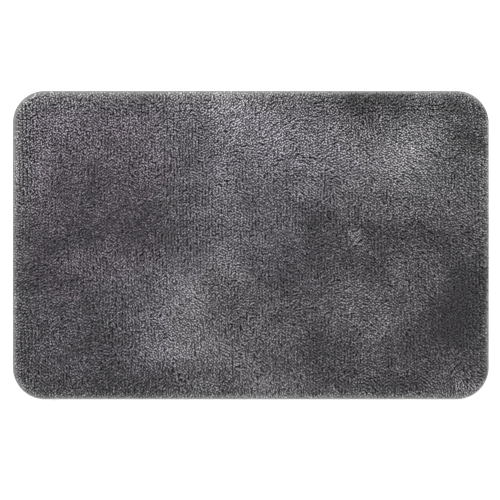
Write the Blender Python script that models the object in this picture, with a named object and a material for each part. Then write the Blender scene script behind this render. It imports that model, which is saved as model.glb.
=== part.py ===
"""Tufted microfibre bath mat, in metres, +Z up.

The origin is at the middle of the underside. X runs along the mat and Y across it. From the
floor up: a rubber backing, a latex coat and a woven cloth under the pile, with an overlocked
edge of looper yarn round the cloth and the latex, held by one needle thread.
"""

import math

import bmesh
import bpy

# Overall outline
MAT_LENGTH = 0.850
MAT_WIDTH = 0.550
CORNER_RADIUS = 0.057

# Layers, from the floor up
BACKING_THICKNESS = 0.0016
LATEX_THICKNESS = 0.0010
CLOTH_THICKNESS = 0.0006
PILE_HEIGHT = 0.0209

# Overlocked edge
BAND_WIDTH = 0.0070
YARN_THICKNESS = 0.0016
BAND_OUTER_ROUNDING = 0.0020
BAND_INNER_ROUNDING = 0.0012
NEEDLE_THREAD_DIAMETER = 0.0009

# Outer shape of the pile
PILE_OVERHANG = 0.0040
PILE_NECK_HEIGHT = 0.0022
PILE_BELLY_HEIGHT = 0.0035
PILE_EDGE_STRAIGHT = 0.0030
PILE_SHOULDER_REACH = 0.0150

# Fit and smoothness
CLEARANCE = 0.0003
CORNER_SEGMENTS = 10
ROUNDING_SEGMENTS = 3
SHOULDER_SEGMENTS = 7

# Levels and insets that follow from the sizes above
LATEX_BOTTOM = BACKING_THICKNESS + CLEARANCE
CLOTH_BOTTOM = LATEX_BOTTOM + LATEX_THICKNESS + CLEARANCE
PILE_BOTTOM = CLOTH_BOTTOM + CLOTH_THICKNESS + CLEARANCE
BAND_HEIGHT = PILE_BOTTOM + YARN_THICKNESS
CLOTH_INSET = YARN_THICKNESS + CLEARANCE
NEEDLE_THREAD_INSET = BAND_WIDTH + CLEARANCE + NEEDLE_THREAD_DIAMETER / 2
BACKING_INSET = NEEDLE_THREAD_INSET + NEEDLE_THREAD_DIAMETER / 2 + CLEARANCE
PILE_ROOT_INSET = BAND_WIDTH + CLEARANCE
NEEDLE_THREAD_MIDDLE = (LATEX_BOTTOM - CLEARANCE) / 2


def clear_scene():
    for obj in list(bpy.data.objects):
        bpy.data.objects.remove(obj)


def new_collection(name):
    collection = bpy.data.collections.new(name)
    bpy.context.scene.collection.children.link(collection)
    return collection


def new_material(name, colour, roughness):
    material = bpy.data.materials.new(name)
    material.use_nodes = True
    shader = material.node_tree.nodes["Principled BSDF"]
    shader.inputs["Base Color"].default_value = (*colour, 1.0)
    shader.inputs["Roughness"].default_value = roughness
    shader.inputs["Metallic"].default_value = 0.0
    return material


def rounded_outline(inset):
    """Points of the mat's outline, moved in by inset, anticlockwise from the right-hand side."""
    radius = CORNER_RADIUS - inset
    middle_x = MAT_LENGTH / 2 - CORNER_RADIUS
    middle_y = MAT_WIDTH / 2 - CORNER_RADIUS
    points = []
    for corner, (side_x, side_y) in enumerate([(1, 1), (-1, 1), (-1, -1), (1, -1)]):
        for step in range(CORNER_SEGMENTS + 1):
            angle = math.pi / 2 * (corner + step / CORNER_SEGMENTS)
            x = side_x * middle_x + radius * math.cos(angle)
            y = side_y * middle_y + radius * math.sin(angle)
            points.append((x, y))
    return points


def closed_curve(name, points):
    """A closed flat curve object of straight pieces through the points."""
    curve = bpy.data.curves.new(name, "CURVE")
    curve.dimensions = "2D"
    spline = curve.splines.new("POLY")
    spline.points.add(len(points) - 1)
    for point, place in zip(spline.points, points):
        point.co = (place[0], place[1], 0.0, 1.0)
    spline.use_cyclic_u = True
    return bpy.data.objects.new(name, curve)


def add_part(obj, collection, material):
    obj.data.materials.append(material)
    collection.objects.link(obj)
    return obj


def add_layer(name, inset, bottom, thickness, collection, material):
    """A flat sheet with the mat's outline, moved in by inset."""
    layer = closed_curve(name, rounded_outline(inset))
    layer.data.fill_mode = "BOTH"
    layer.data.extrude = thickness / 2
    layer.location.z = bottom + thickness / 2
    return add_part(layer, collection, material)


def quarter_turn(centre_x, centre_y, radius, start):
    """Points of a quarter circle, clockwise from the angle start."""
    points = []
    for step in range(ROUNDING_SEGMENTS + 1):
        angle = math.radians(start - 90 * step / ROUNDING_SEGMENTS)
        x = centre_x + radius * math.cos(angle)
        y = centre_y + radius * math.sin(angle)
        points.append((x, y))
    return points


def band_section():
    """The overlocked edge cut across, a C round the cloth and the latex: x runs inwards."""
    outer_middle = BAND_OUTER_ROUNDING
    inner_middle = BAND_WIDTH - BAND_INNER_ROUNDING
    groove_end = YARN_THICKNESS
    groove_bottom = LATEX_BOTTOM - CLEARANCE
    points = quarter_turn(outer_middle, BAND_OUTER_ROUNDING, BAND_OUTER_ROUNDING, 270)
    top_middle = BAND_HEIGHT - BAND_OUTER_ROUNDING
    points += quarter_turn(outer_middle, top_middle, BAND_OUTER_ROUNDING, 180)
    top_middle = BAND_HEIGHT - BAND_INNER_ROUNDING
    points += quarter_turn(inner_middle, top_middle, BAND_INNER_ROUNDING, 90)
    points += [(BAND_WIDTH, PILE_BOTTOM), (groove_end, PILE_BOTTOM)]
    points += [(groove_end, groove_bottom), (BAND_WIDTH, groove_bottom), (BAND_WIDTH, 0.0)]
    return points


def add_overlock_edge(collection, guides, material):
    """The looper yarn's band, its section carried round the mat's outline."""
    section = closed_curve("overlock_section", band_section())
    section.data.fill_mode = "NONE"
    section.hide_render = True
    section.display_type = "WIRE"
    guides.objects.link(section)
    band = closed_curve("overlock_edge_yarn", rounded_outline(0.0))
    band.data.fill_mode = "NONE"
    band.data.bevel_mode = "OBJECT"
    band.data.bevel_object = section
    return add_part(band, collection, material)


def add_needle_thread(collection, material):
    """The needle thread, a line all round at the inner side of the band, under the latex."""
    outline = rounded_outline(NEEDLE_THREAD_INSET)
    thread = closed_curve("overlock_needle_thread", outline)
    thread.data.fill_mode = "NONE"
    thread.data.bevel_depth = NEEDLE_THREAD_DIAMETER / 2
    thread.data.bevel_resolution = 2
    thread.location.z = NEEDLE_THREAD_MIDDLE
    return add_part(thread, collection, material)


def step_in(bm, face, across, up):
    """Moves a copy of the face's rim in by across and away along its normal by up."""
    bmesh.ops.inset_region(
        bm, faces=[face], thickness=across, depth=up, use_even_offset=True
    )


def add_pile(collection, material):
    """The pile: a neck inside the overlocked edge, an overhang past it and a rounded shoulder."""
    belly_inset = PILE_ROOT_INSET - PILE_OVERHANG
    belly_level = PILE_BOTTOM + PILE_NECK_HEIGHT + PILE_BELLY_HEIGHT
    shoulder_rise = PILE_HEIGHT - PILE_NECK_HEIGHT - PILE_BELLY_HEIGHT - PILE_EDGE_STRAIGHT
    bm = bmesh.new()
    corners = [bm.verts.new((x, y, belly_level)) for x, y in rounded_outline(belly_inset)]
    lower = bm.faces.new(corners)
    raised = bmesh.ops.extrude_face_region(bm, geom=[lower])["geom"]
    upper = next(item for item in raised if isinstance(item, bmesh.types.BMFace))
    bmesh.ops.translate(bm, vec=(0, 0, PILE_EDGE_STRAIGHT), verts=upper.verts)
    bmesh.ops.recalc_face_normals(bm, faces=bm.faces)
    for step in range(SHOULDER_SEGMENTS):
        start = math.pi / 2 * step / SHOULDER_SEGMENTS
        end = math.pi / 2 * (step + 1) / SHOULDER_SEGMENTS
        across = PILE_SHOULDER_REACH * (math.cos(start) - math.cos(end))
        up = shoulder_rise * (math.sin(end) - math.sin(start))
        step_in(bm, upper, across, up)
    step_in(bm, lower, PILE_OVERHANG, PILE_BELLY_HEIGHT)
    step_in(bm, lower, 0.0, PILE_NECK_HEIGHT)
    mesh = bpy.data.meshes.new("tufted_pile")
    bm.to_mesh(mesh)
    bm.free()
    return add_part(bpy.data.objects.new("tufted_pile", mesh), collection, material)


def main():
    clear_scene()
    mat = new_collection("bath_mat")
    guides = new_collection("guides")
    rubber = new_material("thermoplastic_rubber", (0.10, 0.10, 0.11), 0.75)
    latex = new_material("latex", (0.55, 0.53, 0.47), 0.65)
    cloth = new_material("woven_polypropylene", (0.20, 0.20, 0.21), 0.85)
    pile = new_material("microfibre_pile", (0.11, 0.105, 0.115), 0.95)
    yarn = new_material("edging_yarn", (0.22, 0.22, 0.22), 0.85)
    thread = new_material("sewing_thread", (0.12, 0.12, 0.125), 0.70)
    add_layer("anti_slip_backing", BACKING_INSET, 0.0, BACKING_THICKNESS, mat, rubber)
    add_layer("latex_bonding_coat", CLOTH_INSET, LATEX_BOTTOM, LATEX_THICKNESS, mat, latex)
    add_layer("primary_backing_cloth", CLOTH_INSET, CLOTH_BOTTOM, CLOTH_THICKNESS, mat, cloth)
    add_pile(mat, pile)
    add_overlock_edge(mat, guides, yarn)
    add_needle_thread(mat, thread)


main()
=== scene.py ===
"""The looks of a tufted bath mat, in metres, in the frame of its CAD model.

X runs along the mat, Y across it and Z up out of the pile. From the floor up come the rubber
underside, the latex, the woven cloth and the cut pile, with an overlocked edge all round.
"""

import math

import bpy
import numpy as np
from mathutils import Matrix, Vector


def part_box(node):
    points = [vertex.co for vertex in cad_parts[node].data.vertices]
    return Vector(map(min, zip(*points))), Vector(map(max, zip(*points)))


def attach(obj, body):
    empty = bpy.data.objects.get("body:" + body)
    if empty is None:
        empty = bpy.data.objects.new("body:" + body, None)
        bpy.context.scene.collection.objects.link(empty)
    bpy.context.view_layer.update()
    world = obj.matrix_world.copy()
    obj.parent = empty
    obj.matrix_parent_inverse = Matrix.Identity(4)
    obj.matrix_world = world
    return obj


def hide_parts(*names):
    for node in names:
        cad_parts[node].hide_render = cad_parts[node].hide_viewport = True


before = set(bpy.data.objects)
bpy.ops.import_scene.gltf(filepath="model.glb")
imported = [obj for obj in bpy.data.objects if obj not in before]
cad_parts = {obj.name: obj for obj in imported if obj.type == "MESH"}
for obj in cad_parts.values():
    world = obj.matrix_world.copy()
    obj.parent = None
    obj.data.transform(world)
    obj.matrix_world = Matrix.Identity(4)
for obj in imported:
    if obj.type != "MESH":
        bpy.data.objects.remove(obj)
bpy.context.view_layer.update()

# ---- Sizes that the frame gives -------------------------------------------------------------

BAND_LOW, BAND_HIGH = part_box("overlock_edge_yarn")
PILE_LOW, PILE_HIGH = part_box("tufted_pile")
CLOTH_LOW, CLOTH_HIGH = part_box("primary_backing_cloth")
LATEX_LOW, LATEX_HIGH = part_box("latex_bonding_coat")
RUBBER_LOW, RUBBER_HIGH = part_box("anti_slip_backing")
THREAD_LOW, THREAD_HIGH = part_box("overlock_needle_thread")
HALF_LENGTH = BAND_HIGH.x
HALF_WIDTH = BAND_HIGH.y

# ---- Sizes of this scene's own --------------------------------------------------------------

CORNER_RADIUS = 0.057
CORNER_STEPS = 24

# Tuft rows: 7/32 inch between the tufting machine's needles, a little off square
HALF_ROWS = 80
HALF_STITCHES = 60
ROW_GAUGE = 0.00556
ROW_SKEW = -0.010
ROW_JITTER = 0.00050
STITCH_PITCH = 0.0054
STITCH_JITTER = 0.00050

# Outermost roots: this far inside the outline, with those that lie up to the margin past it
ROOT_INSET = 0.0090
ROOT_MARGIN = 0.0024

# Tufts: each is a few bundles of fibres in a ring, turned one way or the other in each row
TUFT_RADIUS = 0.0020
TUFT_TURN = math.radians(48.5)
TURN_SCATTER = 0.4
BUNDLES_PER_TUFT = 4
PILE_PATCHES = 10

# One bundle: its widths are shares of its radius, and its sink and scatter are shares too
BUNDLE_RADIUS = 0.00148
BUNDLE_SIDES = 5
BUNDLE_RINGS = 3
ROOT_WIDTH = 0.60
TIP_WIDENING = 0.60
TIP_NARROWING = 0.45
WIDTH_SCATTER = 0.25
HEIGHT_SCATTER = 0.04
BUNDLE_SINK = 0.25
BUNDLE_STRAY = 0.0004
BUNDLE_CRIMP = 0.0004
CRIMP_SWING = 6.5
BEND_POWER = 1.6
ROOT_OPENING = 0.35

# Lean of the tips, and how the pile gets lower and splays out towards the edge
OVERALL_LEAN = (0.0015, -0.0022)
SHOULDER_REACH = 0.0340
EDGE_HEIGHT = 0.58
EDGE_HOLD = 0.8
EDGE_SPLAY = 0.0038
FRONT_SPLAY = 0.0008
RIGHT_SPLAY = 0.0014

# Shade of the pile, from 0, dark, to 1, pale: its random tone, with painted light and shade added
BASE_SHADE = 0.24
# Painted light: the pile is lighter towards the back, where the key light stands
PAINTED_BACK_LIGHT = 0.07
# Painted light on a pale rim where the edge tufts catch the light, less on the right, fading
# inwards
EDGE_PAINTED_LIGHT = 0.22
RIGHT_EDGE_LESS = 0.6
EDGE_FADE = 0.006
BUNDLE_SCATTER = 0.07
FIBRE_SCATTER = 0.25

# Random patches in the pile, each with its amount, its grain and its seed
ROW_DRIFT = (0.0009, 0.090, 11)
LEAN_MOTTLE_X = [(0.0010, 0.020, 21), (0.0014, 0.045, 22)]
LEAN_MOTTLE_Y = [(0.0010, 0.020, 23), (0.0010, 0.045, 24)]
HEIGHT_MOTTLE = (0.015, 0.012, 25)
SHADE_MOTTLE = [(0.07, 0.030, 31), (0.04, 0.012, 32)]
TINT_MOTTLE = (0.5, 0.060, 33)
STROKE_EDGE_X = (0.012, 0.050, 11)
STROKE_EDGE_Y = (0.012, 0.050, 12)

# Overlocked edge, whose outer wraps lie loose enough to stand out by the fuzz
BAND_WIDTH = 0.0070
WRAP_FUZZ = 0.0008
WRAP_TURN = math.radians(310)
WRAP_POINTS = 11
LOOPER_PITCH = 0.0019
LOOPER_RADIUS = 0.00090
LOOPER_SIDES = 5
LOOPER_SLANT = 0.0030
BED_THICKNESS = 0.0008
BED_STEP = math.radians(30)
HALF_BED_STEPS = 5
NEEDLE_STITCH = 0.0030
NEEDLE_WAVE = 0.00015
THREAD_SIDES = 6
THREAD_POINTS_PER_STITCH = 5

# Rubber grip studs, in a triangular pattern
HALF_STUD_ROWS = 40
HALF_STUD_COLUMNS = 60
STUD_PITCH = 0.0090
STUD_RADIUS = 0.0021
STUD_HEIGHT = 0.0006
STUD_SIDES = 7
STUD_TOP = 0.55

# Wave textures repeat this many times in a metre for each unit of their scale
WAVES_PER_SCALE = 20 / (2 * math.pi)

# Camera, the light of the room, and the lamps: name, place, diameter and power
CAMERA_PLACE = (-0.0013, -0.0091, 4.0)
CAMERA_LENS = 161.0
ROOM_LIGHT = 1.1
LAMPS = [
    ("key_light", (-0.2, 1.1, 2.4), 1.2, 50.0),
    ("fill_light", (0.5, -1.8, 2.2), 2.0, 12.0),
]
HALF_FLOOR = 9.0

# ---- Small tools ----------------------------------------------------------------------------


def linear(code):
    """Linear colour values of an sRGB hex colour."""
    values = []
    for start in (1, 3, 5):
        share = int(code[start:start + 2], 16) / 255
        values.append(share / 12.92 if share <= 0.04045 else ((share + 0.055) / 1.055) ** 2.4)
    return (*values, 1.0)


def add_node(tree, kind, inputs=None, **settings):
    """Adds a node with its settings. Each input, by name or number, gets a value or a link."""
    node = tree.nodes.new(kind)
    for name, value in settings.items():
        setattr(node, name, value)
    for key, value in (inputs or {}).items():
        if isinstance(value, bpy.types.Node):
            value = next(socket for socket in value.outputs if socket.enabled)
        if isinstance(value, bpy.types.NodeSocket):
            tree.links.new(value, node.inputs[key])
        else:
            node.inputs[key].default_value = value
    return node


def new_finish(name, roughness, sheen=0.0, specular=0.5):
    """A material, its node tree and its shader, with the values that are the same all over."""
    material = bpy.data.materials.new(name)
    material.use_nodes = True
    shader = material.node_tree.nodes["Principled BSDF"]
    shader.inputs["Metallic"].default_value = 0.0
    shader.inputs["Roughness"].default_value = roughness
    shader.inputs["Specular IOR Level"].default_value = specular
    shader.inputs["Sheen Weight"].default_value = sheen
    shader.inputs["Sheen Roughness"].default_value = 0.4
    return material, material.node_tree, shader


def new_tree(name, inputs):
    """A Geometry Nodes tree that takes a mesh and the named inputs, and gives a mesh."""
    tree = bpy.data.node_groups.new(name, "GeometryNodeTree")
    tree.interface.new_socket("Mesh", in_out="INPUT", socket_type="NodeSocketGeometry")
    for label, kind in inputs.items():
        tree.interface.new_socket(label, in_out="INPUT", socket_type="NodeSocket" + kind)
    tree.interface.new_socket("Mesh", in_out="OUTPUT", socket_type="NodeSocketGeometry")
    return tree, add_node(tree, "NodeGroupInput").outputs


def end_tree(tree, geometry, material):
    """Realizes the instances, gives them their material and sends them out."""
    plain = add_node(tree, "GeometryNodeRealizeInstances", {0: geometry})
    painted = add_node(tree, "GeometryNodeSetMaterial", {"Geometry": plain, "Material": material})
    add_node(tree, "NodeGroupOutput", {0: painted})


def mesh_of(name, points, edges=(), faces=()):
    mesh = bpy.data.meshes.new(name)
    mesh.from_pydata([tuple(point) for point in points], list(edges), list(faces))
    return mesh


def show(name, mesh):
    """An object for the mesh, in the scene."""
    obj = bpy.data.objects.new(name, mesh)
    bpy.context.scene.collection.objects.link(obj)
    return obj


def grow(name, mesh, tree, values):
    """The plain object that the tree makes from the mesh, with the tree's named inputs set."""
    source = show(name + "_source", mesh)
    modifier = source.modifiers.new("grow", "NODES")
    modifier.node_group = tree
    for socket in tree.interface.items_tree:
        if socket.in_out == "INPUT" and socket.name in values:
            modifier[socket.identifier] = values[socket.name]
    graph = bpy.context.evaluated_depsgraph_get()
    made = bpy.data.meshes.new_from_object(
        source.evaluated_get(graph), preserve_all_data_layers=True, depsgraph=graph
    )
    made.name = name
    bpy.data.objects.remove(source)
    bpy.data.meshes.remove(mesh)
    return show(name, made)


def finish_piece(obj, node):
    """The piece stands for the CAD node, which it hides, and rides on its body."""
    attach(obj, "root")
    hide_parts(node)


# ---- The mat's outline ----------------------------------------------------------------------


def outline(inset, z):
    """Points of the mat's outline, moved in by inset, anticlockwise from the right-hand side."""
    radius = CORNER_RADIUS - inset
    points = []
    for corner, (side_x, side_y) in enumerate([(1, 1), (-1, 1), (-1, -1), (1, -1)]):
        for step in range(CORNER_STEPS + 1):
            angle = math.pi / 2 * (corner + step / CORNER_STEPS)
            x = side_x * (HALF_LENGTH - CORNER_RADIUS) + radius * math.cos(angle)
            y = side_y * (HALF_WIDTH - CORNER_RADIUS) + radius * math.sin(angle)
            points.append((x, y, z))
    return points


def outline_loop(name, inset, z):
    """The outline as a closed line of edges."""
    points = outline(inset, z)
    edges = [(i, (i + 1) % len(points)) for i in range(len(points))]
    return mesh_of(name, points, edges)


def place_in_outline(x, y):
    """How far points lie inside the outline, and the direction out of it there."""
    corner_x = np.abs(x) - (HALF_LENGTH - CORNER_RADIUS)
    corner_y = np.abs(y) - (HALF_WIDTH - CORNER_RADIUS)
    round_part = (corner_x > 0) & (corner_y > 0)
    away = np.maximum(np.hypot(corner_x, corner_y), 1e-9)
    inset = CORNER_RADIUS - np.where(round_part, away, np.maximum(corner_x, corner_y))
    out_x = np.where(round_part, corner_x / away, corner_x > corner_y) * np.sign(x)
    out_y = np.where(round_part, corner_y / away, corner_x <= corner_y) * np.sign(y)
    return inset, out_x, out_y


def smooth(share):
    share = np.clip(share, 0.0, 1.0)
    return share * share * (3 - 2 * share)


def mottle(x, y, grain, seed):
    """Smooth random values from -1 to 1 that change over about one grain."""
    across = int(2 * HALF_LENGTH / grain) + 4
    up = int(2 * HALF_WIDTH / grain) + 4
    values = np.random.default_rng(seed).uniform(-1, 1, (across, up))
    column = (x + HALF_LENGTH) / grain + 1
    row = (y + HALF_WIDTH) / grain + 1
    left = np.clip(column.astype(int), 0, across - 2)
    low = np.clip(row.astype(int), 0, up - 2)
    right_share = smooth(column - left)
    high_share = smooth(row - low)
    lower = values[left, low] * (1 - right_share) + values[left + 1, low] * right_share
    upper = values[left, low + 1] * (1 - right_share) + values[left + 1, low + 1] * right_share
    return lower * (1 - high_share) + upper * high_share


def mottled(x, y, *patches):
    """The sum of some random patches."""
    return sum(amount * mottle(x, y, grain, seed) for amount, grain, seed in patches)


# ---- Brushed pile ---------------------------------------------------------------------------

# Where the pile was stroked: from, to, reach, how much lighter or darker as painted shading of the
# brushed fibres, and the lean towards X and Y
BRUSH_STROKES = [
    # painted lighter, as brushed fibres that catch the light
    ((-0.045, 0.25), (0.12, 0.20), 0.054, 0.13, (0.001, 0.003)),
    ((-0.05, 0.25), (0.03, 0.19), 0.038, 0.20, (0.001, 0.003)),
    ((-0.045, 0.18), (-0.045, -0.05), 0.038, 0.18, (0.001, 0.002)),
    ((0.04, 0.15), (0.24, 0.14), 0.042, 0.14, (0.002, 0.001)),
    ((0.285, 0.185), (0.28, 0.145), 0.040, 0.26, (0.002, 0.001)),
    ((-0.13, -0.07), (-0.135, -0.18), 0.040, 0.26, (0.003, 0.000)),
    ((-0.20, -0.15), (-0.18, -0.19), 0.030, 0.11, (0.002, 0.000)),
    ((-0.06, -0.18), (0.03, -0.25), 0.045, 0.16, (0.001, -0.002)),
    ((0.18, -0.09), (0.22, -0.14), 0.036, 0.10, (0.002, 0.001)),
    ((-0.39, 0.25), (-0.34, 0.24), 0.045, 0.14, (0.002, 0.002)),
    ((-0.13, 0.25), (-0.12, 0.24), 0.030, 0.11, (0.001, 0.002)),
    ((-0.385, 0.15), (-0.385, 0.10), 0.026, 0.10, (0.003, 0.000)),
    ((0.095, 0.09), (0.095, 0.085), 0.016, 0.23, (0.001, 0.001)),
    ((0.185, 0.01), (0.185, 0.005), 0.014, 0.34, (0.001, 0.001)),
    ((0.37, -0.25), (0.39, -0.25), 0.028, 0.10, (0.000, -0.003)),
    # painted darker, as brushed fibres in shade
    ((-0.30, 0.11), (-0.18, 0.08), 0.055, -0.11, (-0.004, 0.000)),
    ((-0.38, 0.02), (-0.19, 0.02), 0.036, -0.16, (-0.004, 0.000)),
    ((-0.38, -0.05), (-0.30, -0.12), 0.045, -0.12, (-0.005, 0.001)),
    ((-0.29, -0.18), (-0.27, -0.20), 0.040, -0.10, (-0.005, 0.001)),
    ((-0.39, -0.22), (-0.36, -0.25), 0.034, -0.09, (-0.001, -0.001)),
    ((-0.26, -0.26), (-0.17, -0.255), 0.030, -0.14, (-0.004, 0.000)),
    ((0.38, -0.05), (0.37, -0.12), 0.042, -0.38, (0.000, -0.002)),
    ((0.35, -0.15), (0.28, -0.18), 0.036, -0.23, (0.000, -0.002)),
    ((0.11, 0.03), (0.34, 0.01), 0.036, -0.17, (0.000, 0.001)),
    ((0.09, -0.03), (0.21, -0.04), 0.030, -0.14, (0.000, 0.001)),
    ((0.03, -0.03), (0.07, -0.08), 0.028, -0.08, (0.000, 0.001)),
    ((0.11, -0.17), (0.15, -0.22), 0.034, -0.17, (0.001, 0.001)),
    ((0.185, 0.265), (0.24, 0.27), 0.033, -0.34, (-0.002, 0.001)),
    ((0.38, 0.25), (0.40, 0.19), 0.036, -0.14, (0.000, 0.002)),
    ((0.22, -0.23), (0.29, -0.24), 0.028, -0.06, (0.000, 0.002)),
]

# Tints over the grey: nearly neutral, faint lilac, lavender and mauve
TINTS = ["#f9f6fa", "#f9f3fb", "#f7f1fe", "#fbecff"]


def brushed(x, y):
    """How much lighter or darker the strokes paint the pile, as painted shading of its brushed
    fibres, and its lean, at each point.
    """
    x = x + mottled(x, y, STROKE_EDGE_X)
    y = y + mottled(x, y, STROKE_EDGE_Y)
    lighter, lean_x, lean_y = (np.zeros_like(x) for _ in range(3))
    for start, end, reach, painted_change, lean in BRUSH_STROKES:
        run_x, run_y = end[0] - start[0], end[1] - start[1]
        length_squared = max(run_x ** 2 + run_y ** 2, 1e-9)
        along = ((x - start[0]) * run_x + (y - start[1]) * run_y) / length_squared
        along = np.clip(along, 0.0, 1.0)
        far = np.hypot(x - start[0] - along * run_x, y - start[1] - along * run_y)
        touch = np.exp(-((far / reach) ** 2))
        # Painted shading of the brushed fibres
        lighter += painted_change * touch
        lean_x += lean[0] * touch
        lean_y += lean[1] * touch
    return lighter, lean_x, lean_y


def tuft_places(random):
    """The tufts' rows and roots in the cloth, and how each root lies in the outline."""
    rows = np.arange(-HALF_ROWS, HALF_ROWS + 1) * ROW_GAUGE
    stitches = np.arange(-HALF_STITCHES, HALF_STITCHES + 1) * STITCH_PITCH
    x, y = (grid.ravel() for grid in np.meshgrid(rows, stitches, indexing="ij"))
    row = np.repeat(np.arange(len(rows)), len(stitches))
    y = y + random.uniform(0, STITCH_PITCH, len(rows))[row]
    x = x + random.normal(0, ROW_JITTER, x.shape)
    y = y + random.normal(0, STITCH_JITTER, y.shape)
    x = x + ROW_SKEW * y + mottled(x, y, ROW_DRIFT)
    inset, out_x, out_y = place_in_outline(x, y)
    keep = inset > ROOT_INSET - ROOT_MARGIN
    row, x, y, inset, out_x, out_y = (v[keep] for v in (row, x, y, inset, out_x, out_y))
    push = np.maximum(ROOT_INSET - inset, 0.0)
    return row, x - push * out_x, y - push * out_y, inset + push, out_x, out_y


def tuft_lean(x, y, stroke_x, stroke_y, near_edge, out_x, out_y):
    """How far the tips lean towards X and Y, and their height."""
    lean_x = stroke_x + OVERALL_LEAN[0] + mottled(x, y, *LEAN_MOTTLE_X)
    lean_y = stroke_y + OVERALL_LEAN[1] + mottled(x, y, *LEAN_MOTTLE_Y)
    lean_x = lean_x * (1 - EDGE_HOLD * near_edge) + EDGE_SPLAY * near_edge * out_x
    lean_y = lean_y * (1 - EDGE_HOLD * near_edge) + EDGE_SPLAY * near_edge * out_y
    lean_x += RIGHT_SPLAY * near_edge ** 2 * np.maximum(out_x, 0.0) ** 3
    lean_y -= FRONT_SPLAY * near_edge ** 2 * np.maximum(-out_y, 0.0) ** 3
    height = (PILE_HIGH.z - PILE_LOW.z) * (1 - (1 - EDGE_HEIGHT) * near_edge ** 2)
    height *= 1 - HEIGHT_MOTTLE[0] + mottled(x, y, HEIGHT_MOTTLE)
    return lean_x, lean_y, height


def tuft_shade(x, y, lighter, inset, out_x):
    """Shade of each tuft: the strokes' painted shading, a painted slope of light from back to
    front, the random patches and a painted pale rim of light at the edge, least so on the right.
    """
    # Painted shading of the strokes and painted light that falls off from back to front, over the
    # random patches
    shade = BASE_SHADE + lighter + PAINTED_BACK_LIGHT * y / HALF_WIDTH + mottled(x, y, *SHADE_MOTTLE)
    # Painted light on a pale rim round the edge, least on the right
    painted_rim_light = EDGE_PAINTED_LIGHT * (1 - RIGHT_EDGE_LESS * np.maximum(out_x, 0.0))
    return shade + painted_rim_light * np.exp((ROOT_INSET - inset) / EDGE_FADE)


def tuft_tint(x, y, near_edge):
    """Number of each tuft's tint. Each region has a border and a fade, in metres."""
    lavender = smooth((y + 0.12) / 0.12) * smooth((0.22 - x) / 0.15)
    mauve = smooth((-0.12 - x) / 0.06)
    neutral = smooth((x - 0.20) / 0.08) * smooth((y - 0.04) / 0.06)
    tint = (1 + lavender + mauve - neutral + mottled(x, y, TINT_MOTTLE)) * (1 - near_edge)
    return np.clip(np.round(tint), 0, len(TINTS) - 1)


def tuft_roots():
    """Rows and places of the tufts, with the lean and height, and the shade, tint and turn."""
    random = np.random.default_rng(5)
    row, x, y, inset, out_x, out_y = tuft_places(random)
    near_edge = 1 - smooth((inset - ROOT_INSET) / SHOULDER_REACH)
    # The strokes' painted shading, and their lean
    lighter, stroke_x, stroke_y = brushed(x, y)
    lean = tuft_lean(x, y, stroke_x, stroke_y, near_edge, out_x, out_y)
    shade = tuft_shade(x, y, lighter, inset, out_x)
    tint = tuft_tint(x, y, near_edge)
    side = random.choice([-1, 1], 2 * HALF_ROWS + 1)[row]
    turn = side * TUFT_TURN + random.normal(0, TURN_SCATTER, x.shape)
    return {"row": row, "x": x, "y": y, "lean": lean, "coat": (shade, tint, turn)}


def root_mesh(name, roots, chosen):
    """The chosen roots as loose points that carry what the pile's node tree needs."""
    x, y = roots["x"][chosen], roots["y"][chosen]
    mesh = mesh_of(name, np.stack([x, y, np.full_like(x, PILE_LOW.z)], axis=1))
    for label in ("lean", "coat"):
        values = np.stack([part[chosen] for part in roots[label]], axis=1)
        attribute = mesh.attributes.new(label, "FLOAT_VECTOR", "POINT")
        attribute.data.foreach_set("vector", values.ravel())
    return mesh


def unit_bundle(tree):
    """A straight bundle of unit height and radius, thin at its root and full below its cut end."""
    line = add_node(tree, "GeometryNodeCurvePrimitiveLine", {"End": (0.0, 0.0, 1.0)})
    line = add_node(tree, "GeometryNodeResampleCurve", {"Curve": line, "Count": BUNDLE_RINGS})
    along = add_node(tree, "GeometryNodeSplineParameter").outputs["Factor"]

    # Its rings lie closer together towards the tip
    left = add_node(tree, "ShaderNodeMath", {0: 1.0, 1: along}, operation="SUBTRACT")
    left = add_node(tree, "ShaderNodeMath", {0: left, 1: 1.5}, operation="POWER")
    level = add_node(tree, "ShaderNodeMath", {0: 1.0, 1: left}, operation="SUBTRACT")
    level = add_node(tree, "ShaderNodeCombineXYZ", {"Z": level})
    line = add_node(tree, "GeometryNodeSetPosition", {"Geometry": line, "Position": level})

    # It widens all the way up and narrows again close to its cut end
    widening = add_node(tree, "ShaderNodeMath", {0: along, 1: TIP_WIDENING, 2: ROOT_WIDTH},
                        operation="MULTIPLY_ADD")
    ending = add_node(tree, "ShaderNodeMath", {0: along, 1: 5.0}, operation="POWER")
    width = add_node(tree, "ShaderNodeMath", {0: ending, 1: -TIP_NARROWING, 2: widening},
                     operation="MULTIPLY_ADD")
    ring = add_node(tree, "GeometryNodeCurvePrimitiveCircle",
                    {"Resolution": BUNDLE_SIDES, "Radius": 1.0})
    bundle = add_node(tree, "GeometryNodeCurveToMesh",
                      {"Curve": line, "Profile Curve": ring, "Scale": width, "Fill Caps": True})
    place = add_node(tree, "GeometryNodeInputPosition")
    bundle = add_node(tree, "GeometryNodeStoreNamedAttribute",
                      {"Geometry": bundle, "Name": "ring", "Value": place},
                      data_type="FLOAT_VECTOR")
    return add_node(tree, "GeometryNodeSetShadeSmooth", {"Geometry": bundle})


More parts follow.
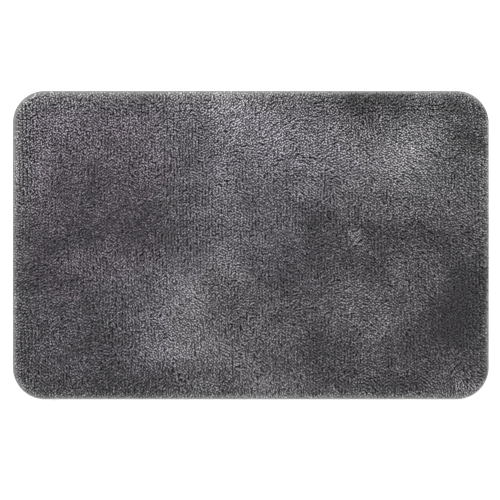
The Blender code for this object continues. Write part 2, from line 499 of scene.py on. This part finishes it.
def fan_bundles(tree, given, coat):
    """The bundles of each tuft, as points that keep how they fan out and their own random mix.

    The fan's Z holds by what share every other bundle stays lower.
    """
    bundles = add_node(tree, "GeometryNodeDuplicateElements",
                       {"Geometry": given["Mesh"], "Amount": given["Bundles per Tuft"]},
                       domain="POINT")
    number = bundles.outputs["Duplicate Index"]
    turn = add_node(tree, "ShaderNodeMath",
                    {0: 2 * math.pi, 1: given["Bundles per Tuft"]}, operation="DIVIDE")
    angle = add_node(tree, "ShaderNodeMath", {0: number, 1: turn, 2: coat["Z"]},
                     operation="MULTIPLY_ADD")
    cosine = add_node(tree, "ShaderNodeMath", {0: angle}, operation="COSINE")
    sine = add_node(tree, "ShaderNodeMath", {0: angle}, operation="SINE")
    fan = add_node(tree, "ShaderNodeCombineXYZ", {"X": cosine, "Y": sine})
    fan = add_node(tree, "ShaderNodeVectorMath", {0: fan, "Scale": given["Tuft Radius"]},
                   operation="SCALE")
    lower = add_node(tree, "ShaderNodeMath", {0: number, 1: 2.0}, operation="MODULO")
    lower = add_node(tree, "ShaderNodeMath", {0: lower, 1: given["Sink"]}, operation="MULTIPLY")
    lower = add_node(tree, "ShaderNodeCombineXYZ", {"Z": lower})
    second_seed = add_node(tree, "ShaderNodeMath", {0: given["Seed"], 1: 100.0}, operation="ADD")
    mixes = [
        add_node(tree, "FunctionNodeRandomValue",
                 {0: (-1.0, -1.0, -1.0), 1: (1.0, 1.0, 1.0), "Seed": seed},
                 data_type="FLOAT_VECTOR")
        for seed in (given["Seed"], second_seed)
    ]
    stray = add_node(tree, "ShaderNodeCombineXYZ", {"X": given["Stray"], "Y": given["Stray"]})
    stray = add_node(tree, "ShaderNodeVectorMath", {0: mixes[0], 1: stray},
                     operation="MULTIPLY")
    fan = add_node(tree, "ShaderNodeVectorMath", {0: fan, 1: stray}, operation="ADD")
    fan = add_node(tree, "ShaderNodeVectorMath", {0: fan, 1: lower}, operation="ADD")
    for label, value in (("fan", fan), ("own", mixes[1])):
        bundles = add_node(tree, "GeometryNodeStoreNamedAttribute",
                           {"Geometry": bundles, "Name": label, "Value": value},
                           data_type="FLOAT_VECTOR")
    return bundles


def stand_bundles(tree, given, bundles, lean, own, level):
    """A bundle on each point, with a width, a height and a turn of its own."""
    wider = add_node(tree, "ShaderNodeMath", {0: own["X"], 1: WIDTH_SCATTER, 2: 1.0},
                     operation="MULTIPLY_ADD")
    wider = add_node(tree, "ShaderNodeMath", {0: wider, 1: given["Bundle Radius"]},
                     operation="MULTIPLY")
    taller = add_node(tree, "ShaderNodeMath",
                      {0: own["Y"], 1: HEIGHT_SCATTER, 2: 1 - HEIGHT_SCATTER},
                      operation="MULTIPLY_ADD")
    taller = add_node(tree, "ShaderNodeMath", {0: taller, 1: level}, operation="MULTIPLY")
    taller = add_node(tree, "ShaderNodeMath", {0: taller, 1: lean["Z"]}, operation="MULTIPLY")
    scale = add_node(tree, "ShaderNodeCombineXYZ", {"X": wider, "Y": wider, "Z": taller})
    turn = add_node(tree, "ShaderNodeMath", {0: own["Z"], 1: math.pi}, operation="MULTIPLY")
    turn = add_node(tree, "FunctionNodeAxisAngleToRotation", {"Angle": turn})
    pile = add_node(tree, "GeometryNodeInstanceOnPoints",
                    {"Points": bundles, "Instance": unit_bundle(tree), "Rotation": turn,
                     "Scale": scale})
    return add_node(tree, "GeometryNodeRealizeInstances", {0: pile})


def bend_bundles(tree, given, pile, lean, fan, own, rise):
    """The lean and the fan grow towards the tip, and each bundle swings once as its crimp."""
    bent = add_node(tree, "ShaderNodeMath", {0: rise, 1: BEND_POWER}, operation="POWER")
    opened = add_node(tree, "ShaderNodeMath", {0: bent, 1: 1 - ROOT_OPENING, 2: ROOT_OPENING},
                      operation="MULTIPLY_ADD")
    swing = add_node(tree, "ShaderNodeMath", {0: rise, 1: CRIMP_SWING, 2: own["Z"]},
                     operation="MULTIPLY_ADD")
    swing = add_node(tree, "ShaderNodeMath", {0: swing}, operation="SINE")
    swing = add_node(tree, "ShaderNodeMath", {0: swing, 1: rise}, operation="MULTIPLY")
    swing = add_node(tree, "ShaderNodeMath", {0: swing, 1: given["Crimp"]}, operation="MULTIPLY")
    shifts = []
    for axis, other in (("X", "Y"), ("Y", "X")):
        shift = add_node(tree, "ShaderNodeMath", {0: lean[axis], 1: bent}, operation="MULTIPLY")
        shift = add_node(tree, "ShaderNodeMath", {0: fan[axis], 1: opened, 2: shift},
                         operation="MULTIPLY_ADD")
        shift = add_node(tree, "ShaderNodeMath", {0: own[other], 1: swing, 2: shift},
                         operation="MULTIPLY_ADD")
        shifts.append(shift)
    shift = add_node(tree, "ShaderNodeCombineXYZ", {"X": shifts[0], "Y": shifts[1]})
    return add_node(tree, "GeometryNodeSetPosition", {"Geometry": pile, "Offset": shift})


def coat_place(tree, given, coat, own, ring, level):
    """Place on the colour map: across it the shade, up it the height, once for each tint.

    The height takes up 4% to 96% of its tint's band. A little of the ring is added to both, so
    that every face has some area on the map.
    """
    shade = add_node(tree, "ShaderNodeMath",
                     {0: own["X"], 1: given["Bundle Scatter"], 2: coat["X"]},
                     operation="MULTIPLY_ADD")
    fibre = add_node(tree, "FunctionNodeRandomValue", {2: -1.0, 3: 1.0, "Seed": given["Seed"]},
                     data_type="FLOAT")
    fibre = add_node(tree, "GeometryNodeFieldOnDomain", {0: fibre}, data_type="FLOAT",
                     domain="POINT")
    shade = add_node(tree, "ShaderNodeMath",
                     {0: fibre, 1: given["Fibre Scatter"], 2: shade}, operation="MULTIPLY_ADD")
    shade = add_node(tree, "ShaderNodeClamp", {"Value": shade, "Min": 0.01, "Max": 0.99})
    slanted = add_node(tree, "ShaderNodeMath", {0: ring["Y"], 1: 0.35, 2: ring["X"]},
                       operation="MULTIPLY_ADD")
    across = add_node(tree, "ShaderNodeMath", {0: slanted, 1: 0.005, 2: shade},
                      operation="MULTIPLY_ADD")
    up = add_node(tree, "ShaderNodeMath", {0: ring["Z"], 1: level}, operation="MULTIPLY")
    up = add_node(tree, "ShaderNodeMath", {0: up, 1: 0.92, 2: 0.04}, operation="MULTIPLY_ADD")
    up = add_node(tree, "ShaderNodeMath", {0: ring["Y"], 1: 0.015, 2: up},
                  operation="MULTIPLY_ADD")
    up = add_node(tree, "ShaderNodeMath", {0: up, 1: coat["Y"]}, operation="ADD")
    up = add_node(tree, "ShaderNodeMath", {0: up, 1: 1 / len(TINTS)}, operation="MULTIPLY")
    return add_node(tree, "ShaderNodeCombineXYZ", {"X": across, "Y": up})


def cut_pile_tree():
    """Stands the fibre bundles of each tuft on its root, bends them and maps their colour.

    A root's lean holds how far its tips lean towards X and Y, and their height. Its coat holds
    the shade, the number of the tint and the tuft's turn.
    """
    tree, given = new_tree("cut_pile", {
        "Bundles per Tuft": "Int", "Tuft Radius": "Float", "Bundle Radius": "Float",
        "Sink": "Float", "Stray": "Float", "Crimp": "Float", "Bundle Scatter": "Float",
        "Fibre Scatter": "Float", "Seed": "Int", "Material": "Material",
    })
    stored = ("lean", "coat", "fan", "own", "ring")
    vectors = [
        add_node(tree, "GeometryNodeInputNamedAttribute", {"Name": label},
                 data_type="FLOAT_VECTOR")
        for label in stored
    ]
    lean, coat, fan, own, ring = (
        add_node(tree, "ShaderNodeSeparateXYZ", {0: vector}).outputs for vector in vectors
    )
    level = add_node(tree, "ShaderNodeMath", {0: 1.0, 1: fan["Z"]}, operation="SUBTRACT")
    bundles = fan_bundles(tree, given, coat)
    pile = stand_bundles(tree, given, bundles, lean, own, level)
    pile = bend_bundles(tree, given, pile, lean, fan, own, ring["Z"])
    map_place = coat_place(tree, given, coat, own, ring, level)
    for label in ("pile_coat", "OFBake"):
        pile = add_node(tree, "GeometryNodeStoreNamedAttribute",
                        {"Geometry": pile, "Name": label, "Value": map_place},
                        data_type="FLOAT2", domain="CORNER")
    for label in stored:
        pile = add_node(tree, "GeometryNodeRemoveAttribute", {"Geometry": pile, "Name": label})
    end_tree(tree, pile, given["Material"])
    return tree


def cut_microfibre():
    """Microfibre polyester yarn, cut to a pile: soft and matt, with a pale sheen where it leans.

    Its grey goes from dark to light with the shade. Light hardly reaches in between the tufts,
    so it falls to a twentieth of that on the way down, and it gets duller towards the root.
    """
    material, tree, shader = new_finish("cut_microfibre_polyester", 0.92, 0.25, 0.20)
    place = add_node(tree, "ShaderNodeUVMap", uv_map="pile_coat")
    parts = add_node(tree, "ShaderNodeSeparateXYZ", {0: place}).outputs
    step = add_node(tree, "ShaderNodeMath", {0: parts["Y"], 1: float(len(TINTS))},
                    operation="MULTIPLY")
    rise = add_node(tree, "ShaderNodeMath", {0: step}, operation="FRACT")
    tints = add_node(tree, "ShaderNodeValToRGB", {"Fac": parts["Y"]})
    tints.color_ramp.interpolation = "CONSTANT"
    for number, code in enumerate(TINTS):
        if number > 1:
            tints.color_ramp.elements.new(number / len(TINTS))
        tints.color_ramp.elements[number].position = number / len(TINTS)
        tints.color_ramp.elements[number].color = linear(code)
    greys = add_node(tree, "ShaderNodeMix",
                     {0: parts["X"], 6: linear("#373538"), 7: linear("#d4d4d4")},
                     data_type="RGBA")
    colour = add_node(tree, "ShaderNodeMix", {0: 1.0, 6: greys, 7: tints.outputs["Color"]},
                      data_type="RGBA", blend_type="MULTIPLY")
    depth = add_node(tree, "ShaderNodeMapRange",
                     {"Value": rise, "From Min": 0.60, "From Max": 0.96, "To Min": 0.05,
                      "To Max": 1.0})
    colour = add_node(tree, "ShaderNodeVectorMath", {0: colour, "Scale": depth},
                      operation="SCALE")
    tree.links.new(colour.outputs["Vector"], shader.inputs["Base Color"])
    duller = add_node(tree, "ShaderNodeMapRange", {"Value": rise, "To Min": 0.98, "To Max": 0.88})
    tree.links.new(duller.outputs["Result"], shader.inputs["Roughness"])
    return material


def make_pile():
    """The pile, in patches of rows that each stay under 200,000 triangles."""
    roots = tuft_roots()
    tree = cut_pile_tree()
    yarn = cut_microfibre()
    rows = roots["row"] - roots["row"].min()
    rows_in_patch = math.ceil((rows.max() + 1) / PILE_PATCHES)
    patches = []
    for number in range(PILE_PATCHES):
        chosen = rows // rows_in_patch == number
        name = f"tufted_pile_{number + 1:02d}"
        patch = grow(name, root_mesh(name + "_roots", roots, chosen), tree, {
            "Bundles per Tuft": BUNDLES_PER_TUFT, "Tuft Radius": TUFT_RADIUS,
            "Bundle Radius": BUNDLE_RADIUS, "Sink": BUNDLE_SINK, "Stray": BUNDLE_STRAY,
            "Crimp": BUNDLE_CRIMP, "Bundle Scatter": BUNDLE_SCATTER,
            "Fibre Scatter": FIBRE_SCATTER, "Seed": number, "Material": yarn,
        })
        finish_piece(patch, "tufted_pile")
        patches.append(patch)
    return patches


# ---- Cloth and latex ------------------------------------------------------------------------


def layer_shape(inset, bottom, top):
    """Points and faces of a flat closed layer with the mat's outline, moved in by inset."""
    points = outline(inset, bottom) + outline(inset, top)
    count = len(points) // 2
    faces = [tuple(reversed(range(count))), tuple(range(count, 2 * count))]
    for i in range(count):
        j = (i + 1) % count
        faces.append((i, j, count + j, count + i))
    return points, faces


def woven_polypropylene():
    """Plain weave of flat polypropylene tapes, 2 mm wide, slightly shiny and dark grey: partly its
    own colour, partly painted shade where it shows between the tufts.

    Each tape rises over the next one, so the bump follows the warp and the weft by turns.
    """
    tape = 0.002
    material, tree, shader = new_finish("woven_polypropylene_tape", 0.50)
    place = add_node(tree, "ShaderNodeTexCoord").outputs["Object"]
    # Dark grey, partly the cloth's own and partly painted shade for the gaps between the tufts
    weave = add_node(tree, "ShaderNodeTexChecker",
                     {"Vector": place, "Color1": linear("#38383b"), "Color2": linear("#28282b"),
                      "Scale": 1 / tape})
    tree.links.new(weave.outputs["Color"], shader.inputs["Base Color"])
    parts = add_node(tree, "ShaderNodeSeparateXYZ", {0: place}).outputs
    crowns = []
    for axis in ("X", "Y"):
        crown = add_node(tree, "ShaderNodeMath", {0: parts[axis], 1: math.pi / tape},
                         operation="MULTIPLY")
        crown = add_node(tree, "ShaderNodeMath", {0: crown}, operation="SINE")
        crowns.append(add_node(tree, "ShaderNodeMath", {0: crown}, operation="ABSOLUTE"))
    over = add_node(tree, "ShaderNodeMix",
                    {0: weave.outputs["Fac"], 2: crowns[0], 3: crowns[1]}, data_type="FLOAT")
    bump = add_node(tree, "ShaderNodeBump", {"Height": over, "Distance": 0.0003})
    tree.links.new(bump.outputs["Normal"], shader.inputs["Normal"])
    return material


def dried_latex():
    """Filled latex, dried: off-white and dull, with ridges over the rows of back stitches."""
    clouds_per_metre = 60.0
    material, tree, shader = new_finish("dried_latex", 0.70)
    place = add_node(tree, "ShaderNodeTexCoord").outputs["Object"]
    cloud = add_node(tree, "ShaderNodeTexNoise",
                     {"Vector": place, "Scale": clouds_per_metre, "Detail": 4.0})
    colour = add_node(tree, "ShaderNodeMix",
                      {0: cloud, 6: linear("#b8b4a8"), 7: linear("#cdc9be")}, data_type="RGBA")
    tree.links.new(colour.outputs[2], shader.inputs["Base Color"])
    ridges = add_node(tree, "ShaderNodeTexWave",
                      {"Vector": place, "Scale": 1 / (WAVES_PER_SCALE * ROW_GAUGE),
                       "Distortion": 1.5})
    bump = add_node(tree, "ShaderNodeBump", {"Height": ridges.outputs["Fac"], "Distance": 0.0003})
    tree.links.new(bump.outputs["Normal"], shader.inputs["Normal"])
    return material


def make_layer(name, inset, low, high, material):
    """A piece that is one flat closed layer, in the given material."""
    points, faces = layer_shape(inset, low.z, high.z)
    layer = show(name, mesh_of(name, points, faces=faces))
    layer.data.materials.append(material)
    return layer


def make_cloth():
    """The woven cloth and the latex under it."""
    cloth = make_layer("primary_backing_weave", HALF_LENGTH - CLOTH_HIGH.x, CLOTH_LOW, CLOTH_HIGH,
                       woven_polypropylene())
    finish_piece(cloth, "primary_backing_cloth")
    latex = make_layer("latex_coat", HALF_LENGTH - LATEX_HIGH.x, LATEX_LOW, LATEX_HIGH,
                       dried_latex())
    finish_piece(latex, "latex_bonding_coat")
    return cloth, latex


# ---- Rubber underside -----------------------------------------------------------------------


def grip_tree():
    """Low blunt studs on the underside of the rubber sheet, joined with the sheet."""
    tree, given = new_tree("grip_studs", {
        "Stud Radius": "Float", "Stud Height": "Float", "Material": "Material",
    })
    stud = add_node(tree, "GeometryNodeMeshCone",
                    {"Vertices": STUD_SIDES, "Radius Top": STUD_TOP, "Radius Bottom": 1.0,
                     "Depth": 1.0})
    size = add_node(tree, "ShaderNodeCombineXYZ",
                    {"X": given["Stud Radius"], "Y": given["Stud Radius"],
                     "Z": given["Stud Height"]})
    turn = add_node(tree, "FunctionNodeAxisAngleToRotation",
                    {"Axis": (1.0, 0.0, 0.0), "Angle": math.pi})
    marks = add_node(tree, "GeometryNodeInputNamedAttribute", {"Name": "stud"},
                     data_type="BOOLEAN")
    studs = add_node(tree, "GeometryNodeInstanceOnPoints",
                     {"Points": given["Mesh"], "Selection": marks, "Instance": stud,
                      "Rotation": turn, "Scale": size})
    both = add_node(tree, "GeometryNodeJoinGeometry")
    tree.links.new(given["Mesh"], both.inputs[0])
    tree.links.new(studs.outputs[0], both.inputs[0])
    end_tree(tree, both, given["Material"])
    return tree


def thermoplastic_rubber():
    """Thermoplastic rubber, moulded: dark grey and matt, with a fine pebbled skin."""
    pebble = 0.0011
    clouds_per_metre = 25.0
    material, tree, shader = new_finish("thermoplastic_rubber", 0.78)
    place = add_node(tree, "ShaderNodeTexCoord").outputs["Object"]
    cloud = add_node(tree, "ShaderNodeTexNoise",
                     {"Vector": place, "Scale": clouds_per_metre, "Detail": 5.0})
    colour = add_node(tree, "ShaderNodeMix",
                      {0: cloud, 6: linear("#58585a"), 7: linear("#69696b")}, data_type="RGBA")
    tree.links.new(colour.outputs[2], shader.inputs["Base Color"])
    worn = add_node(tree, "ShaderNodeMapRange", {"Value": cloud, "To Min": 0.70, "To Max": 0.86})
    tree.links.new(worn.outputs["Result"], shader.inputs["Roughness"])
    pebbles = add_node(tree, "ShaderNodeTexVoronoi", {"Vector": place, "Scale": 1 / pebble})
    bump = add_node(tree, "ShaderNodeBump",
                    {"Height": pebbles.outputs["Distance"], "Distance": -0.00015})
    tree.links.new(bump.outputs["Normal"], shader.inputs["Normal"])
    return material


def make_underside():
    """The rubber sheet, with a stud wherever there is room for a whole one."""
    inset = HALF_LENGTH - RUBBER_HIGH.x
    sheet_bottom = RUBBER_LOW.z + STUD_HEIGHT
    sheet, faces = layer_shape(inset, sheet_bottom, RUBBER_HIGH.z)
    columns = np.arange(-HALF_STUD_COLUMNS, HALF_STUD_COLUMNS + 1)
    rows = np.arange(-HALF_STUD_ROWS, HALF_STUD_ROWS + 1)
    column, row = (grid.ravel() for grid in np.meshgrid(columns, rows))
    x = STUD_PITCH * (column + row % 2 / 2)
    y = STUD_PITCH * row * math.sqrt(3) / 2
    room, _, _ = place_in_outline(x, y)
    keep = room > inset + 2 * STUD_RADIUS
    studs = [(*place, sheet_bottom) for place in zip(x[keep], y[keep])]
    marked = mesh_of("rubber_sheet", sheet + studs, faces=faces)
    is_stud = [False] * len(sheet) + [True] * len(studs)
    marked.attributes.new("stud", "BOOLEAN", "POINT").data.foreach_set("value", is_stud)
    under = grow("rubber_underside", marked, grip_tree(), {
        "Stud Radius": STUD_RADIUS, "Stud Height": STUD_HEIGHT,
        "Material": thermoplastic_rubber(),
    })
    finish_piece(under, "anti_slip_backing")
    return under


# ---- Overlocked edge ------------------------------------------------------------------------


def overlock_tree():
    """Wraps of looper yarn over the mat's edge, one for each stitch, all round."""
    tree, given = new_tree("overlock_stitches", {
        "Stitches": "Int", "Width": "Float", "Height": "Float", "Yarn Radius": "Float",
        "Slant": "Float", "Material": "Material",
    })
    edge = add_node(tree, "GeometryNodeMeshToCurve", {"Mesh": given["Mesh"]})
    edge = add_node(tree, "GeometryNodeResampleCurve", {"Curve": edge, "Count": given["Stitches"]})
    along_edge = add_node(tree, "GeometryNodeInputTangent")
    facing = add_node(tree, "FunctionNodeAxesToRotation",
                      {0: (0.0, 0.0, 1.0), 1: along_edge}, primary_axis="Z", secondary_axis="Y")

    # One wrap: an ellipse that is open at its inner side, slanting along the edge
    half_width = add_node(tree, "ShaderNodeMath", {0: given["Width"], 1: 0.5},
                          operation="MULTIPLY")
    half_height = add_node(tree, "ShaderNodeMath", {0: given["Height"], 1: 0.5},
                           operation="MULTIPLY")
    reach_x = add_node(tree, "ShaderNodeMath", {0: half_width, 1: given["Yarn Radius"]},
                       operation="SUBTRACT")
    reach_z = add_node(tree, "ShaderNodeMath", {0: half_height, 1: given["Yarn Radius"]},
                       operation="SUBTRACT")
    wrap = add_node(tree, "GeometryNodeCurvePrimitiveLine", {"End": (0.0, 0.0, 1.0)})
    wrap = add_node(tree, "GeometryNodeResampleCurve", {"Curve": wrap, "Count": WRAP_POINTS})
    share = add_node(tree, "GeometryNodeSplineParameter").outputs["Factor"]
    angle = add_node(tree, "ShaderNodeMath",
                     {0: share, 1: -WRAP_TURN, 2: WRAP_TURN / 2}, operation="MULTIPLY_ADD")
    cosine = add_node(tree, "ShaderNodeMath", {0: angle}, operation="COSINE")
    sine = add_node(tree, "ShaderNodeMath", {0: angle}, operation="SINE")
    x = add_node(tree, "ShaderNodeMath", {0: cosine, 1: reach_x}, operation="MULTIPLY")
    x = add_node(tree, "ShaderNodeMath", {0: x, 1: half_width}, operation="SUBTRACT")
    z = add_node(tree, "ShaderNodeMath", {0: sine, 1: reach_z, 2: half_height},
                 operation="MULTIPLY_ADD")
    y = add_node(tree, "ShaderNodeMath", {0: share, 1: 0.5}, operation="SUBTRACT")
    y = add_node(tree, "ShaderNodeMath", {0: y, 1: given["Slant"]}, operation="MULTIPLY")
    wrap_place = add_node(tree, "ShaderNodeCombineXYZ", {"X": x, "Y": y, "Z": z})
    wrap = add_node(tree, "GeometryNodeSetPosition", {"Geometry": wrap, "Position": wrap_place})
    ring = add_node(tree, "GeometryNodeCurvePrimitiveCircle",
                    {"Resolution": LOOPER_SIDES, "Radius": given["Yarn Radius"]})
    wrap = add_node(tree, "GeometryNodeCurveToMesh",
                    {"Curve": wrap, "Profile Curve": ring, "Fill Caps": True})
    wraps = add_node(tree, "GeometryNodeInstanceOnPoints",
                     {"Points": edge, "Instance": wrap, "Rotation": facing})
    end_tree(tree, wraps, given["Material"])
    return tree


def textured_polyester():
    """Textured polyester looper yarn, wound close: mid-grey, matt and a little fuzzy."""
    filament_loop = 0.0004
    yarn_patch = 0.0025
    material, tree, shader = new_finish("textured_polyester_yarn", 0.85, 0.30, 0.25)
    place = add_node(tree, "ShaderNodeTexCoord").outputs["Object"]
    cloud = add_node(tree, "ShaderNodeTexNoise",
                     {"Vector": place, "Scale": 1 / yarn_patch, "Detail": 3.0})
    colour = add_node(tree, "ShaderNodeMix",
                      {0: cloud, 6: linear("#747473"), 7: linear("#999997")}, data_type="RGBA")
    tree.links.new(colour.outputs[2], shader.inputs["Base Color"])
    fuzz = add_node(tree, "ShaderNodeTexNoise",
                    {"Vector": place, "Scale": 1 / filament_loop, "Detail": 2.0})
    bump = add_node(tree, "ShaderNodeBump", {"Height": fuzz, "Distance": 0.00015})
    tree.links.new(bump.outputs["Normal"], shader.inputs["Normal"])
    return material


def twisted_thread():
    """Polyester sewing thread, mid-grey with a slight shine, with painted shade in the grooves
    between its plies.
    """
    ply = 0.0006
    material, tree, shader = new_finish("twisted_polyester_thread", 0.55, 0.10, 0.35)
    place = add_node(tree, "ShaderNodeTexCoord").outputs["Object"]
    plies = add_node(tree, "ShaderNodeTexWave",
                     {"Vector": place, "Scale": 1 / (WAVES_PER_SCALE * ply),
                      "Distortion": 2.0},
                     bands_direction="DIAGONAL")
    # Painted shade: the low parts of the ply waves, the grooves, are darker
    colour = add_node(tree, "ShaderNodeMix",
                      {0: plies.outputs["Fac"], 6: linear("#4a4a4c"), 7: linear("#767678")},
                      data_type="RGBA")
    tree.links.new(colour.outputs[2], shader.inputs["Base Color"])
    bump = add_node(tree, "ShaderNodeBump", {"Height": plies.outputs["Fac"], "Distance": 0.0001})
    tree.links.new(bump.outputs["Normal"], shader.inputs["Normal"])
    return material


def yarn_bed():
    """The yarn layers below the outer wraps: a thin closed C round the raw edge, all round."""
    half_width = BAND_WIDTH / 2
    half_height = (BAND_HIGH.z - BAND_LOW.z) / 2
    section = []
    steps = list(range(-HALF_BED_STEPS, HALF_BED_STEPS + 1))
    for depth, way in ((LOOPER_RADIUS, 1), (LOOPER_RADIUS + BED_THICKNESS, -1)):
        for step in steps[::way]:
            angle = BED_STEP * step
            section.append((half_width - (half_width - depth) * math.cos(angle),
                            half_height + (half_height - depth) * math.sin(angle)))
    rings = [outline(inset, BAND_LOW.z + z) for inset, z in section]
    count = len(rings[0])
    points = [point for ring in rings for point in ring]
    faces = []
    for i in range(len(rings)):
        for j in range(count):
            near, far = i * count, (i + 1) % len(rings) * count
            faces.append((near + j, near + (j + 1) % count, far + (j + 1) % count, far + j))
    mesh = mesh_of("overlock_bed", points, faces=faces)
    mesh.polygons.foreach_set("use_smooth", [True] * len(mesh.polygons))
    return mesh


def needle_thread_tree():
    """The needle thread, running up and down through the mat once in each stitch."""
    tree, given = new_tree("needle_thread", {
        "Stitches": "Int", "Wave": "Float", "Thread Radius": "Float", "Material": "Material",
    })
    count = add_node(tree, "ShaderNodeMath",
                     {0: given["Stitches"], 1: float(THREAD_POINTS_PER_STITCH)},
                     operation="MULTIPLY")
    line = add_node(tree, "GeometryNodeMeshToCurve", {"Mesh": given["Mesh"]})
    line = add_node(tree, "GeometryNodeResampleCurve", {"Curve": line, "Count": count})
    along = add_node(tree, "GeometryNodeSplineParameter").outputs["Factor"]
    wave = add_node(tree, "ShaderNodeMath", {0: along, 1: given["Stitches"]},
                    operation="MULTIPLY")
    wave = add_node(tree, "ShaderNodeMath", {0: wave, 1: 2 * math.pi}, operation="MULTIPLY")
    wave = add_node(tree, "ShaderNodeMath", {0: wave}, operation="SINE")
    wave = add_node(tree, "ShaderNodeMath", {0: wave, 1: given["Wave"]}, operation="MULTIPLY")
    rise = add_node(tree, "ShaderNodeCombineXYZ", {"Z": wave})
    line = add_node(tree, "GeometryNodeSetPosition", {"Geometry": line, "Offset": rise})
    ring = add_node(tree, "GeometryNodeCurvePrimitiveCircle",
                    {"Resolution": THREAD_SIDES, "Radius": given["Thread Radius"]})
    thread = add_node(tree, "GeometryNodeCurveToMesh", {"Curve": line, "Profile Curve": ring})
    end_tree(tree, thread, given["Material"])
    return tree


def perimeter(inset):
    """Length of the outline, moved in by inset."""
    straight = 4 * (HALF_LENGTH + HALF_WIDTH - 2 * CORNER_RADIUS)
    return straight + 2 * math.pi * (CORNER_RADIUS - inset)


def make_edge():
    """The looper yarn's wraps and bed, and the needle thread at their inner side."""
    yarn = textured_polyester()
    wraps = grow("overlock_wraps", outline_loop("edge_line", -WRAP_FUZZ, 0.0), overlock_tree(), {
        "Stitches": round(perimeter(0.0) / LOOPER_PITCH), "Width": BAND_WIDTH + WRAP_FUZZ,
        "Height": BAND_HIGH.z - BAND_LOW.z, "Yarn Radius": LOOPER_RADIUS,
        "Slant": LOOPER_SLANT, "Material": yarn,
    })
    finish_piece(wraps, "overlock_edge_yarn")
    bed = show("overlock_bed", yarn_bed())
    bed.data.materials.append(yarn)
    finish_piece(bed, "overlock_edge_yarn")

    middle = (THREAD_LOW.z + THREAD_HIGH.z) / 2
    radius = (THREAD_HIGH.z - THREAD_LOW.z) / 2 - NEEDLE_WAVE
    inset = HALF_LENGTH - THREAD_HIGH.x + NEEDLE_WAVE + radius
    line = outline_loop("thread_line", inset, middle)
    thread = grow("needle_thread", line, needle_thread_tree(), {
        "Stitches": round(perimeter(inset) / NEEDLE_STITCH), "Wave": NEEDLE_WAVE,
        "Thread Radius": radius, "Material": twisted_thread(),
    })
    finish_piece(thread, "overlock_needle_thread")
    return [wraps, bed, thread]


# ---- Stage, light and camera ----------------------------------------------------------------


def make_stage():
    """A white floor in a white room, with a key light behind the mat and a weak one in front."""
    corners = [(x * HALF_FLOOR, y * HALF_FLOOR, 0) for x, y in ((-1, -1), (1, -1), (1, 1), (-1, 1))]
    floor = show("floor", mesh_of("floor", corners, faces=[(0, 1, 2, 3)]))
    white = bpy.data.materials.new("white_paper")
    white.use_nodes = True
    shader = white.node_tree.nodes["Principled BSDF"]
    shader.inputs["Base Color"].default_value = linear("#fafafa")
    shader.inputs["Roughness"].default_value = 0.9
    floor.data.materials.append(white)

    scene = bpy.context.scene
    scene.world = bpy.data.worlds.new("white_room")
    scene.world.use_nodes = True
    background = scene.world.node_tree.nodes["Background"]
    background.inputs["Color"].default_value = (1.0, 1.0, 1.0, 1.0)
    background.inputs["Strength"].default_value = ROOM_LIGHT
    scene.view_settings.view_transform = "Standard"

    for name, place, size, power in LAMPS:
        lamp = bpy.data.lights.new(name, "AREA")
        lamp.shape = "DISK"
        lamp.size = size
        lamp.energy = power
        holder = bpy.data.objects.new(name, lamp)
        scene.collection.objects.link(holder)
        holder.location = place
        holder.rotation_euler = (-holder.location).to_track_quat("-Z", "Y").to_euler()


def make_camera():
    """A camera that looks straight down at the mat."""
    camera = bpy.data.cameras.new("camera")
    camera.lens = CAMERA_LENS
    holder = bpy.data.objects.new("camera", camera)
    bpy.context.scene.collection.objects.link(holder)
    holder.location = CAMERA_PLACE
    camera.clip_end = 50.0
    bpy.context.scene.camera = holder


# ---- The mat --------------------------------------------------------------------------------

patches = make_pile()
cloth, latex = make_cloth()
underside = make_underside()
edge = make_edge()
make_stage()
make_camera()
